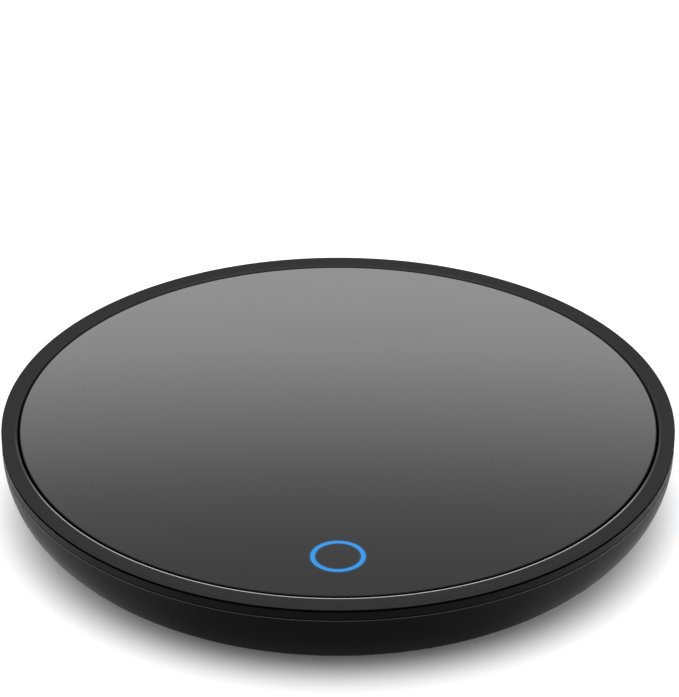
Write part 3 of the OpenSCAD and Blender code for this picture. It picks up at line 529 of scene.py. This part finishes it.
def length(name, description, default, least, most):
    """A length property, with its default and its range in millimetres."""
    return FloatProperty(name=name, description=description, default=default * MM,
                         min=least * MM, max=most * MM, precision=5, subtype="DISTANCE",
                         unit="LENGTH")


def tone(name, description, hex_colour):
    """A colour property."""
    return FloatVectorProperty(name=name, description=description, subtype="COLOR", size=3,
                               default=linear(hex_colour)[:3], min=0, max=1)


class WarmerLook(bpy.types.PropertyGroup):
    """Colours of the warmer"""

    glass_tone: tone("Glass", "Colour of the glass over its black print", "#0b0b0c")
    bezel_tone: tone("Bezel", "Colour of the bezel's matt paint", "#373738")
    shell_tone: tone("Shell", "Colour of the moulded housing", "#0a0a0b")
    key_colour: tone("Touch key", "Colour of the key's light", "#008fe4")
    bleed_colour: tone("Key bleed", "Colour of the light at the edge of the key", "#003c61")
    key_glow: FloatProperty(name="Key glow", description="Strength of the key's light",
                            default=1.0, min=0, max=10)


class WarmerShape(bpy.types.PropertyGroup):
    """Sizes of the pieces that are finer here than in the solids"""

    glass_edge: length("Glass edge", "Radius of the glass plate's polished edge", 0.12, 0.05, 1)
    lip_r: length("Bezel lip", "Radius of the bezel's polished inner edge", 0.25, 0.1, 1)
    crest: length("Bezel crest", "Height of the bezel's crest above the glass",
                  high("bezel_ring", 2) - GLASS_TOP, 0.2, 2)
    edge_r: length("Bezel edge", "Radius of the bezel's outer edge", 0.3, 0.1, 2)
    polish: length("Polished lip", "Width of the rubbed band beside the lip", 0.3, 0, 1)
    key_inner: length("Key inner radius", "Inner radius of the lit ring", 4.13, 1, 10)
    key_width: length("Key width", "Width of the lit ring", 0.84, 0.2, 4)
    groove: length("Foot groove", "Depth of the grip grooves under a foot", 0.18, 0, 0.5)
    sides: IntProperty(name="Sides", description="Facets round the glass and the bezel",
                       default=288, min=48, max=512)
    wire_sides: IntProperty(name="Wire sides", description="Facets round a spring's wire",
                            default=12, min=6, max=32)


class WarmerStage(bpy.types.PropertyGroup):
    """The camera, the floor and the light"""

    camera_place: FloatVectorProperty(name="Camera", description="Place of the camera", size=3,
                                      default=(0.00027, -0.4552, 0.2907), unit="LENGTH")
    camera_tilt: FloatProperty(name="Tilt", description="Turn of the camera about X",
                               default=math.radians(60.522), subtype="ANGLE", unit="ROTATION")
    camera_lens: FloatProperty(name="Lens", description="Focal length on a frame 36 mm high",
                               default=141.1, min=10, max=500)
    sky: FloatProperty(name="Sky", description="Level of the soft light round the object",
                       default=1.0, min=0, max=4)
    floor_tone: tone("Floor", "Colour of the floor", "#f6f6f6")
    floor_lift: FloatProperty(name="Floor lift", default=0.5, min=0, max=1,
                              description="Light that the floor adds for the camera")
    cards: FloatProperty(name="Side cards", default=2.3, min=0, max=10,
                         description="Light of the cards that shiny sides mirror")


# ---------- operators ----------


# What shiny faces mirror: elevation above the horizon, in degrees, and level. The room has soft
# walls under a dim even ceiling. Behind the object hangs a screen that fades upwards, which the
# glass mirrors, and under it stands a lamp that picks out the bezel's lip.
ROOM = ((0, 0.8), (15, 0.85), (24, 0.95), (31, 0.85), (34, 0.65), (37, 0.5), (50, 0.32),
        (90, 0.32))
BEHIND = ((0, 3.5), (6, 3.4), (11.3, 3.0), (16.7, 2.7), (18.7, 1.2), (20.8, 0.5), (22.3, 0.3),
          (26.3, 0.3), (27.3, 2.85), (28.4, 2.85), (29.3, 2.69), (30.56, 1.99), (31.4, 1.54),
          (32.24, 1.11), (33.07, 0.85), (34, 0.7), (37, 0.5), (50, 0.32), (90, 0.32))
# X of a unit direction up to which the screen and the lamp are whole, and from which they are gone
SCREEN_WHOLE, SCREEN_END = 0.125, 0.145
# A dark flag on either side of them ends the bright line on the lip: its middle and its half
# width in the same way, and its level as a share of the brightest one behind the object
FLAG_AT, FLAG_HALF, FLAG_LEVEL = 0.245, 0.1, 0.02
# Two bright cards lie on the floor to the left and right. These are the distances from the
# object's middle, in mm, at which they begin and are full.
CARD_START, CARD_FULL = 25, 75
# Distances from the middle, in mm, at which the floor begins to turn white and is white. X counts
# for less in them, because the shadow that stays is a little wider than it is deep.
WHITE_START, WHITE_FULL, WHITE_X = BEZEL_R - 11, BEZEL_R + 1, 0.93


def level_ramp(tree, height, table, top):
    """Ramp over a direction's height, which is the sine of its elevation.

    It gives the levels of a table, as shares of top."""
    ramp = add(tree, "ValToRGB", {}, {0: height})
    stops = ramp.color_ramp.elements
    for elevation, _ in table[1:-1]:
        stops.new(math.sin(math.radians(elevation)))
    for stop, (_, level) in zip(stops, table):
        stop.color = grey(level / top)
    return ramp.outputs[0]


class WARMER_OT_stage(bpy.types.Operator):
    """Camera, soft light and pale floor"""

    bl_idname = "warmer.stage"
    bl_label = "Stage"

    def execute(self, context):
        stage = context.scene.warmer_stage
        context.scene.view_settings.view_transform = "Standard"
        camera = bpy.data.objects.new("camera", bpy.data.cameras.new("camera"))
        context.scene.collection.objects.link(camera)
        camera.data.sensor_fit, camera.data.sensor_height = "VERTICAL", 36
        camera.data.lens = stage.camera_lens
        camera.data.clip_start, camera.data.clip_end = 0.01, 50
        camera.location = stage.camera_place
        camera.rotation_euler = (stage.camera_tilt, 0, 0)
        context.scene.camera = camera

        context.scene.world = self.soft_room(stage)

        # A level sheet of 6 x 6 m: its corners are (+-half, +-half, 0)
        half = 3.0
        x, y = np.meshgrid([-half, half], [-half, half])
        corners = np.stack([x.ravel(), y.ravel(), 0 * x.ravel()], 1)
        mesh = bpy.data.meshes.new("floor")
        mesh.from_pydata(corners.tolist(), [], [(0, 1, 3, 2)])
        floor = bpy.data.objects.new("floor", mesh)
        context.scene.collection.objects.link(floor)
        mesh.materials.append(self.floor_finish(stage))
        return {"FINISHED"}

    def soft_room(self, stage):
        """World: the same light from every side, and for shiny faces a room with a screen."""
        world = bpy.data.worlds.new("soft_room")
        world.use_nodes = True
        tree = world.node_tree
        tree.nodes.clear()
        way = add(tree, "TexCoord").outputs["Generated"]
        parts = add(tree, "SeparateXYZ", {}, {0: way})
        top = max(level for _, level in BEHIND)
        room, behind = (level_ramp(tree, parts.outputs["Z"], table, top)
                        for table in (ROOM, BEHIND))
        off = add(tree, "Math", {"operation": "ABSOLUTE"}, {0: parts.outputs["X"]})
        back = add(tree, "Math", {"operation": "GREATER_THAN", 1: 0.0}, {0: parts.outputs["Y"]})
        # screen and flag are 1 in the directions where each stands, and 0 elsewhere
        near = add(tree, "MapRange", {"From Min": SCREEN_END, "From Max": SCREEN_WHOLE},
                   {"Value": off.outputs[0]})
        screen = add(tree, "Math", {"operation": "MULTIPLY"},
                     {0: near.outputs[0], 1: back.outputs[0]})
        beside = add(tree, "Math", {"operation": "COMPARE", 1: FLAG_AT, 2: FLAG_HALF},
                     {0: off.outputs[0]})
        flag = add(tree, "Math", {"operation": "MULTIPLY"},
                   {0: beside.outputs[0], 1: back.outputs[0]})
        walls = add(tree, "Mix", {"data_type": "RGBA", 7: grey(FLAG_LEVEL)},
                    {0: flag.outputs[0], 6: room})
        seen = add(tree, "Mix", {"data_type": "RGBA"},
                   {0: screen.outputs[0], 6: walls.outputs[2], 7: behind})
        mirrored = add(tree, "LightPath").outputs["Is Glossy Ray"]
        light = add(tree, "Mix", {"data_type": "RGBA", 6: grey(1 / top)},
                    {0: mirrored, 7: seen.outputs[2]})
        shader = add(tree, "Background", {"Strength": top * stage.sky}, {"Color": light.outputs[2]})
        add(tree, "OutputWorld", {}, {"Surface": shader.outputs[0]})
        return world

    def floor_finish(self, stage):
        """Matt laminate table top, pale: it keeps the shadow, and reads as white outside it."""
        mat, tree = new_material("laminate_matt_pale")
        place = add(tree, "TexCoord").outputs["Object"]
        drawn = add(tree, "VectorMath", {"operation": "MULTIPLY", 1: (WHITE_X, 1, 1)},
                    {0: place})
        reach = add(tree, "VectorMath", {"operation": "LENGTH"}, {0: drawn.outputs[0]})
        clear = add(tree, "MapRange", {"interpolation_type": "SMOOTHSTEP",
                                       "From Min": WHITE_START * MM, "From Max": WHITE_FULL * MM,
                                       "To Max": stage.floor_lift},
                    {"Value": reach.outputs["Value"]})
        path = add(tree, "LightPath")
        seen = add(tree, "Math", {"operation": "MAXIMUM"},
                   {0: path.outputs["Is Camera Ray"], 1: path.outputs["Is Transmission Ray"]})
        white = add(tree, "Math", {"operation": "MULTIPLY"},
                    {0: seen.outputs[0], 1: clear.outputs[0]})
        # The cards show only in what shiny faces mirror
        parts = add(tree, "SeparateXYZ", {}, {0: place})
        off = add(tree, "Math", {"operation": "ABSOLUTE"}, {0: parts.outputs["X"]})
        card = add(tree, "MapRange", {"interpolation_type": "SMOOTHSTEP",
                                      "From Min": CARD_START * MM, "From Max": CARD_FULL * MM,
                                      "To Max": stage.cards},
                   {"Value": off.outputs[0]})
        shine = add(tree, "Math", {"operation": "MULTIPLY"},
                    {0: path.outputs["Is Glossy Ray"], 1: card.outputs[0]})
        lift = add(tree, "Math", {"operation": "MAXIMUM"},
                   {0: white.outputs[0], 1: shine.outputs[0]})
        shader = add(tree, "BsdfPrincipled", {"Base Color": (*stage.floor_tone, 1),
                                              "Roughness": 0.9, "Specular IOR Level": 0.0,
                                              "Emission Color": grey(1.0)},
                     {"Emission Strength": lift.outputs[0]})
        return finish_material(mat, shader)


class WARMER_OT_glass(bpy.types.Operator):
    """Glass plate of the heating deck, with a polished round edge"""

    bl_idname = "warmer.glass"
    bl_label = "Glass plate"

    def execute(self, context):
        shape = context.scene.warmer_shape
        edge, bottom, beside = shape.glass_edge / MM, low("glass_plate", 2), 0.1
        # A ring beside each edge keeps the faces flat to the eye
        r = GLASS_R - edge
        profile = [[0, bottom], [r - beside, bottom], *fillet(r, bottom + edge, edge, -90, 0, 7),
                   *fillet(r, GLASS_TOP - edge, edge, 0, 90, 9), [r - beside, GLASS_TOP],
                   [0, GLASS_TOP]]
        make_piece("polished_glass", *revolve(profile, shape.sides), "glass_plate",
                   [finish_of("black_glass")])
        return {"FINISHED"}


class WARMER_OT_touch_key(bpy.types.Operator):
    """Lit ring of the touch key, seen through its window in the print"""

    bl_idname = "warmer.touch_key"
    bl_label = "Touch key"

    def execute(self, context):
        look, shape = context.scene.warmer_look, context.scene.warmer_shape
        inner, width = shape.key_inner / MM, shape.key_width / MM
        # Name, how far it goes beyond the window, height over the glass, colour and strength. The
        # light bleeds through the edge of the print and fades in steps.
        rings = (("key_light", 0, 0.012, look.key_colour, look.key_glow),
                 ("key_bleed_near", 0.14, 0.009, look.bleed_colour, look.key_glow),
                 ("key_bleed_middle", 0.3, 0.006, look.bleed_colour, 0.4 * look.key_glow),
                 ("key_bleed_far", 0.55, 0.003, look.bleed_colour, 0.12 * look.key_glow))
        for name, out, rise, glow, strength in rings:
            near, far, top = inner - out, inner + width + out, GLASS_TOP + rise
            profile = [[near, GLASS_TOP], [far, GLASS_TOP], [far, top], [near, top]]
            points, faces = revolve(profile, KEY_SIDES)
            make_piece(name, points + [0, KEY_Y, 0], faces, "light_guide",
                       [glow_finish(name, glow, strength)], replace=False)
        return {"FINISHED"}


class WARMER_OT_bezel(bpy.types.Operator):
    """Bezel ring, with its polished lip, sloping face and round outer edge"""

    bl_idname = "warmer.bezel"
    bl_label = "Bezel"

    def execute(self, context):
        shape = context.scene.warmer_shape
        lip, edge, crest = shape.lip_r / MM, shape.edge_r / MM, GLASS_TOP + shape.crest / MM
        # Both arcs end where the line that touches them leaves, at the same angle: a quarter turn,
        # less the angle at which the line between their middles falls, plus the angle whose sine
        # is the difference of their radii over the distance of their middles
        lip_at, edge_at = (BEZEL_IN_R + lip, GLASS_TOP - lip), (BEZEL_R - edge, crest - edge)
        across, down = edge_at[0] - lip_at[0], lip_at[1] - edge_at[1]
        leave = 90 + math.degrees(math.asin((edge - lip) / math.hypot(across, down))
                                  - math.atan2(down, across))
        outer = fillet(*edge_at, edge, 0, leave, 10)
        inner = fillet(*lip_at, lip, leave, 180, 8)
        start, end = np.array(inner[0]), np.array(outer[-1])
        slope = (end - start) / np.linalg.norm(end - start)
        # Rings beside the outer arc, the rubbed band's edge and the lip keep the slope flat to
        # the eye: how far up the slope from the lip each ring is, from the outside in
        polish, chamfer = shape.polish / MM, 0.08
        ups = [np.linalg.norm(end - start) - 0.06, polish + 0.03, polish, 0.01]
        under = [[SKIRT_R, BEZEL_LOW], [SKIRT_R, BEZEL_FACE_Z], [BEZEL_R - chamfer, BEZEL_FACE_Z],
                 [BEZEL_R, BEZEL_FACE_Z + chamfer]]
        profile = [*under, *outer, *((start + up * slope).tolist() for up in ups), *inner,
                   [BEZEL_IN_R, BEZEL_LOW]]
        points, faces = revolve(profile, shape.sides)
        # Only the band beside the lip is rubbed bright: the two rows of faces from its edge on
        rows = np.arange(len(faces)) // shape.sides
        first = len(under) + len(outer) + ups.index(polish)
        which = (rows == first) | (rows == first + 1)
        make_piece("bezel_trim", points, faces, "bezel_ring",
                   [finish_of("bezel_plastic"), lip_finish(context.scene.warmer_look.bezel_tone)],
                   which=which)
        return {"FINISHED"}


class WARMER_OT_housing(bpy.types.Operator):
    """Moulded shell, its rim bead in a painted highlight, upper housing and the deck's landing ring
    """

    bl_idname = "warmer.housing"
    bl_label = "Housing"

    def execute(self, context):
        dress("base_shell", "top_housing", "bumper_ring")
        # A bead runs round the rim, a little proud of the wall, from an underside that slopes
        proud, bead, inside = 0.02, 0.06, BEZEL_R - 0.2
        under = [[inside, RIM_Z - 0.16], [BEZEL_R, RIM_Z - 0.14]]
        profile = [*under, *fillet(BEZEL_R + proud - bead, RIM_Z - bead, bead, -30, 90, 7),
                   [inside, RIM_Z]]
        # The bead's paler tone is a painted highlight, the light line along the parting
        make_piece("rim_bead_painted_highlight", *revolve(profile, context.scene.warmer_shape.sides),
                   "base_shell", [rim_highlight_finish()], replace=False)
        return {"FINISHED"}


class WARMER_OT_feet(bpy.types.Operator):
    """Four rubber feet with ring-shaped grip grooves"""

    bl_idname = "warmer.feet"
    bl_label = "Feet"

    def execute(self, context):
        groove = context.scene.warmer_shape.groove / MM
        pitch, edge, top_edge = 1.5, 0.5, 0.2
        for corner in CORNERS:
            node = "foot_" + corner
            x, y, top = middle(node, 0), middle(node, 1), high(node, 2)
            r = high(node, 0) - x
            # Height of the underside at radius s: half the groove times 1 + cos(turn * s / pitch),
            # as far as the last low point inside the edge
            far = int((r - edge) / pitch - 0.5) * pitch + pitch / 2
            s = np.linspace(0, far, 49)
            wave = groove / 2 * (1 + np.cos(2 * np.pi * s / pitch))
            profile = [*np.stack([s, wave], 1).tolist(), *fillet(r - edge, edge, edge, -90, 0, 7),
                       *fillet(r - top_edge, top - top_edge, top_edge, 0, 90, 4), [0, top]]
            points, faces = revolve(profile, FOOT_SIDES)
            make_piece("rubber_" + node, points + [x, y, 0], faces, node,
                       [finish_of("silicone_black")])
        return {"FINISHED"}


class WARMER_OT_underside(bpy.types.Operator):
    """Screws from below and the bare rating plate"""

    bl_idname = "warmer.underside"
    bl_label = "Screws and plate"

    def execute(self, context):
        dress("housing_screws", "rating_plate")
        return {"FINISHED"}


class WARMER_OT_heater(bpy.types.Operator):
    """Everything that the glass carries: print, bond, heater, carrier, light guide and sensors"""

    bl_idname = "warmer.heater"
    bl_label = "Heater and carrier"

    def execute(self, context):
        dress("back_print", "bond_ring", "heat_spreader", "heater_front_film", "heater_track",
              "heater_back_film", "insulation_pad", "deck_carrier", "light_guide", "thermistor",
              "thermal_cutoff")
        return {"FINISHED"}


def coil(radius, wire, bottom, top, turns, sides):
    """A compression spring that stands on the Z axis, of that outer radius and wire thickness.

    The wire's middle goes round a circle, evenly, turns times. Its height is a share of the
    spring's: each end turn rises by little more than the wire, and the rest rises evenly. The
    mean of each point and its neighbours softens the two bends."""
    share = np.linspace(0, 1, int(turns * 48) + 1)
    run, end = top - bottom - wire, 0.9 / turns
    small = 1.2 * wire / run
    lift = np.interp(share, [0, end, 1 - end, 1], [0, small, 1 - small, 1])
    near = 6
    padded = np.pad(lift, near, mode="reflect", reflect_type="odd")
    soft = np.convolve(padded, np.ones(2 * near + 1) / (2 * near + 1), "valid")
    a = 2 * np.pi * turns * share
    reach = radius - wire / 2
    path = np.stack([reach * np.cos(a), reach * np.sin(a), bottom + wire / 2 + run * soft], 1)
    return tube(path, wire / 2, (0, 0, 1), sides)


def turned(points, degrees):
    """Points turned about the Z axis: each becomes (x cos a - y sin a, x sin a + y cos a, z)."""
    a = math.radians(degrees)
    matrix = np.array([[math.cos(a), math.sin(a), 0], [-math.sin(a), math.cos(a), 0], [0, 0, 1]])
    return points @ matrix


def sinks(obj):
    """Gives a piece a mesh of its own."""
    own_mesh(obj)


class WARMER_OT_springs(bpy.types.Operator):
    """Four deck springs of steel wire and the touch key's gold-flashed spring"""

    bl_idname = "warmer.springs"
    bl_label = "Springs"

    def execute(self, context):
        sides = context.scene.warmer_shape.wire_sides
        # The deck springs stand on a circle of this radius. Each spring's row gives its place, its
        # radius, its wire's thickness, its turns and the angle at which the wire begins.
        circle = 52.2
        rows = {}
        for corner, angle in CORNERS.items():
            a = math.radians(angle)
            place = (circle * math.cos(a), circle * math.sin(a), 0)
            rows["deck_spring_" + corner] = (place, 3.0, 0.6, 5, angle)
        rows["touch_spring"] = ((0, KEY_Y, 0), high("touch_spring", 0), 0.4, 6, 0)
        for node, (place, radius, wire, turns, angle) in rows.items():
            foot = low(node, 2)
            points, faces = coil(radius, wire, foot, high(node, 2), turns, sides)
            obj = make_piece("wire_" + node, turned(points, angle) + place, faces, node,
                             [finish_of(SLOT_OF[node])])
            sinks(obj)
        return {"FINISHED"}


class WARMER_OT_leads(bpy.types.Operator):
    """Insulated leads from the board to the deck and to the power inlet"""

    bl_idname = "warmer.leads"
    bl_label = "Leads"

    def execute(self, context):
        # All leads leave their plugs on the board at the same height, towards the rear. The other
        # points of each route are set one by one, clear of what stands beside it.
        plug_y, plug_z, steps, sides = low("sensor_leads", 1), 8.5, 12, 16
        # The sensor's and the heater's leads, of these radii, turn up to the deck
        for node, r in {"sensor_leads": 0.45, "heater_leads": 0.55}.items():
            top, rise_y = high(node, 2), high(node, 1) - r
            parts = []
            for x in (low(node, 0) + r, high(node, 0) - r):
                path = [[x, plug_y, plug_z], [x, plug_y + 3, plug_z],
                        [x, rise_y - 0.8, plug_z + 1], [x, rise_y, plug_z + 2.5],
                        [x, rise_y, top]]
                parts.append(tube(spline(path, steps), r, (1, 0, 0), sides))
            obj = make_piece("flex_" + node, *join(parts), node, [finish_of(SLOT_OF[node])])
            sinks(obj)

        # The supply's leads sink to the shell's floor and climb to the inlet's tags at the rear
        r, floor_z, tag_z, tag_y = 0.65, 4.35, 7.2, high("power_leads", 1)
        start, span = plug_y + 4, tag_y - 7 - plug_y
        parts = []
        for k, (x, tag) in enumerate(((11.15, -2.5), (12.85, 2.5))):
            path = [[x, plug_y, plug_z], [x, start, plug_z - 1],
                    [x + 2, start + 0.23 * span, floor_z + 0.5],
                    [x + 3, start + 0.44 * span, floor_z],
                    [x + 1 + k, start + 0.725 * span, floor_z + 0.3],
                    [x - 5 + 3 * k, start + 0.885 * span, floor_z + 2],
                    [tag + 1, tag_y - 3, tag_z - 0.3], [tag, tag_y, tag_z]]
            parts.append(tube(spline(path, steps), r, (0, 0, 1), sides))
        make_piece("flex_power_leads", *join(parts), "power_leads", [finish_of("wire_red")])
        return {"FINISHED"}


class WARMER_OT_board(bpy.types.Operator):
    """Control board with its parts, headers, plugs and screws"""

    bl_idname = "warmer.board"
    bl_label = "Control board"

    def execute(self, context):
        dress("control_board", "board_screws", "microcontroller", "power_transistor",
              "power_inductor", "input_capacitor", "chip_parts", "key_leds", "sensor_header",
              "heater_header", "power_header", "sensor_plug", "heater_plug", "power_plug")
        return {"FINISHED"}


class WARMER_OT_switch(bpy.types.Operator):
    """Weight switch with its lever, plunger, pin, terminals, screws and leads"""

    bl_idname = "warmer.switch"
    bl_label = "Weight switch"

    def execute(self, context):
        dress("switch_body", "switch_plunger", "switch_lever", "lever_pin", "switch_terminals",
              "switch_screws", "switch_leads")
        return {"FINISHED"}


class WARMER_OT_inlet(bpy.types.Operator):
    """Power inlet: its body, centre pin and sleeve contact"""

    bl_idname = "warmer.inlet"
    bl_label = "Power inlet"

    def execute(self, context):
        dress("jack_body", "jack_pin", "jack_contact")
        return {"FINISHED"}


# ---------- panel and registration ----------

OPERATORS = (WARMER_OT_stage, WARMER_OT_glass, WARMER_OT_touch_key, WARMER_OT_bezel,
             WARMER_OT_housing, WARMER_OT_feet, WARMER_OT_underside, WARMER_OT_heater,
             WARMER_OT_springs, WARMER_OT_leads, WARMER_OT_board, WARMER_OT_switch,
             WARMER_OT_inlet)
GROUPS = {"warmer_look": WarmerLook, "warmer_shape": WarmerShape, "warmer_stage": WarmerStage}


class WARMER_PT_panel(bpy.types.Panel):
    """Lists the warmer's settings and pieces"""

    bl_label = "Mug Warmer"
    bl_idname = "WARMER_PT_panel"
    bl_space_type = "VIEW_3D"
    bl_region_type = "UI"
    bl_category = "Mug Warmer"

    def draw(self, context):
        for name, group in GROUPS.items():
            box = self.layout.box()
            box.label(text=group.__doc__)
            for key in group.__annotations__:
                box.prop(getattr(context.scene, name), key)
        for kind in OPERATORS:
            self.layout.operator(kind.bl_idname)


CLASSES = (*GROUPS.values(), *OPERATORS, WARMER_PT_panel)


def register():
    """Registers the classes and puts the settings on the scene."""
    for kind in CLASSES:
        bpy.utils.register_class(kind)
    for name, group in GROUPS.items():
        setattr(bpy.types.Scene, name, PointerProperty(type=group))


def unregister():
    """Takes the settings and the classes away again."""
    for name in GROUPS:
        delattr(bpy.types.Scene, name)
    for kind in reversed(CLASSES):
        bpy.utils.unregister_class(kind)


def main():
    """Builds the whole look."""
    register()
    for kind in OPERATORS:
        getattr(bpy.ops.warmer, kind.bl_idname.split(".")[1])()


if __name__ == "__main__":
    main()
